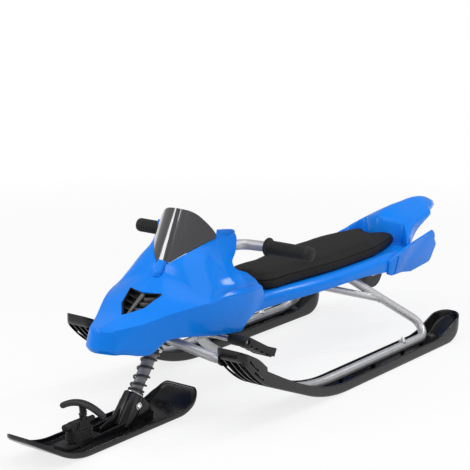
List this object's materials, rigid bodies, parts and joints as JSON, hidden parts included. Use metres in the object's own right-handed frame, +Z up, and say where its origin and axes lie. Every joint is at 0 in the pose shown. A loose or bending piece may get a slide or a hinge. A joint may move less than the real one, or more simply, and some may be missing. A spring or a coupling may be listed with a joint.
{
  "type": "steering sled",
  "caption": "Steering sled with a sprung, steerable front ski, fixed rear skis on a tube frame, moulded cowl with windshield, padded seat with a tail, handlebar, foot brake and tow handle.",
  "frame": {"origin": "on the ground, midway between the tips of the front ski and the tail, on the middle plane", "axes": "+Z up, -Y the way the sled travels, +X the rider's left"},
  "size_m": [0.475, 1.5, 0.421],
  "materials": {
    "cowl": "smooth moulded blue plastic with a clear gloss",
    "seat_shell": "smooth moulded blue plastic with a clear gloss",
    "front_ski": "smooth black polyethylene, rubbed shiny",
    "rear_ski_left": "smooth black polyethylene, rubbed shiny",
    "rear_ski_right": "smooth black polyethylene, rubbed shiny",
    "vent_insert": "fine-grained black plastic",
    "windshield": "polished black plastic",
    "rail_left": "silver-grey powder coat on steel tube",
    "rail_right": "silver-grey powder coat on steel tube",
    "brace_left": "silver-grey powder coat on steel tube",
    "brace_right": "silver-grey powder coat on steel tube",
    "front_arm_left": "silver-grey powder coat on steel tube",
    "front_arm_right": "silver-grey powder coat on steel tube",
    "head_tube": "silver-grey powder coat on steel tube",
    "backbone_tube": "silver-grey powder coat on steel tube",
    "arm_collar_left": "fine-grained black plastic",
    "arm_collar_right": "fine-grained black plastic",
    "saddle_plate": "galvanised steel sheet and rod",
    "front_seat_plate": "galvanised steel sheet and rod",
    "cowl_bracket": "galvanised steel sheet and rod",
    "brake_hanger": "galvanised steel sheet and rod",
    "reel_bracket": "galvanised steel sheet and rod",
    "brake_claw": "galvanised steel sheet and rod",
    "brake_shaft": "galvanised steel sheet and rod",
    "brake_spring": "black painted spring wire",
    "coil_spring": "black painted spring wire",
    "brake_pedal_left": "fine-grained black plastic",
    "brake_pedal_right": "fine-grained black plastic",
    "steering_column": "galvanised steel sheet and rod",
    "handlebar": "zinc or chrome plated steel",
    "strut": "zinc or chrome plated steel",
    "clamp_base": "fine-grained black plastic",
    "clamp_cap": "fine-grained black plastic",
    "grip_left": "matt black rubber",
    "grip_right": "matt black rubber",
    "lock_collar": "zinc or chrome plated steel",
    "lower_bush": "fine-grained black plastic",
    "upper_bush": "fine-grained black plastic",
    "lower_spring_seat": "zinc or chrome plated steel",
    "upper_spring_seat": "zinc or chrome plated steel",
    "strut_bolt": "zinc or chrome plated steel",
    "rail_bolt_left": "zinc or chrome plated steel",
    "rail_bolt_right": "zinc or chrome plated steel",
    "reel_case": "fine-grained black plastic",
    "reel_cover": "fine-grained black plastic",
    "reel_drum": "fine-grained black plastic",
    "reel_axle": "zinc or chrome plated steel",
    "seat_pad": "dark brown-grey artificial leather over foam",
    "tow_base": "fine-grained black plastic",
    "tow_handle": "fine-grained black plastic",
    "tow_line": "black braided cord"
  },
  "bodies": {
    "frame": {"cowl": "cowl", "seat_shell": "seat_shell", "rear_ski_left": "rear_ski_left", "rear_ski_right": "rear_ski_right", "vent_insert": "vent_insert", "windshield": "windshield", "rail_left": "rail_left", "rail_right": "rail_right", "brace_left": "brace_left", "brace_right": "brace_right", "front_arm_left": "front_arm_left", "front_arm_right": "front_arm_right", "head_tube": "head_tube", "backbone_tube": "backbone_tube", "arm_collar_left": "arm_collar_left", "arm_collar_right": "arm_collar_right", "saddle_plate": "saddle_plate", "front_seat_plate": "front_seat_plate", "cowl_bracket": "cowl_bracket", "brake_hanger": "brake_hanger", "reel_bracket": "reel_bracket", "brake_spring": "brake_spring", "lower_bush": "lower_bush", "upper_bush": "upper_bush", "rail_bolt_left": "rail_bolt_left", "rail_bolt_right": "rail_bolt_right", "reel_case": "reel_case", "reel_cover": "reel_cover", "reel_axle": "reel_axle", "seat_pad": "seat_pad"},
    "steering": {"steering_column": "steering_column", "lock_collar": "lock_collar", "upper_spring_seat": "upper_spring_seat", "clamp_base": "clamp_base", "clamp_cap": "clamp_cap", "handlebar": "handlebar", "grip_left": "grip_left", "grip_right": "grip_right"},
    "suspension": {"strut": "strut", "lower_spring_seat": "lower_spring_seat", "front_ski": "front_ski", "strut_bolt": "strut_bolt", "tow_base": "tow_base", "tow_line": "tow_line", "coil_spring": "coil_spring"},
    "tow_handle": {"tow_handle": "tow_handle"},
    "brake": {"brake_shaft": "brake_shaft", "brake_pedal_left": "brake_pedal_left", "brake_pedal_right": "brake_pedal_right", "brake_claw": "brake_claw"},
    "reel_drum": {"reel_drum": "reel_drum"}
  },
  "joints": [
    {"name": "steering_turn", "type": "hinge", "parent": "frame", "child": "steering", "pos_m": [0, -0.469, 0], "axis": [0, 0.6018, 0.7986], "range_deg": [-22, 22]},
    {"name": "suspension_travel", "type": "slide", "parent": "steering", "child": "suspension", "axis": [0, 0.6018, 0.7986], "range_m": [0, 0.03], "stiffness_N_per_m": 5000, "springref_m": -0.014, "deforming": ["coil_spring"]},
    {"name": "tow_handle_lift", "type": "slide", "parent": "suspension", "child": "tow_handle", "axis": [0, 0, 1], "range_m": [0, 0.05]},
    {"name": "brake_press", "type": "hinge", "parent": "frame", "child": "brake", "pos_m": [0, -0.257, 0.158], "axis": [-1, 0, 0], "range_deg": [0, 45], "stiffness_Nm_per_rad": 1.6, "springref_deg": -34.38},
    {"name": "reel_turn", "type": "hinge", "parent": "frame", "child": "reel_drum", "pos_m": [0, 0.442, 0.142], "axis": [1, 0, 0], "continuous": true}
  ]
}
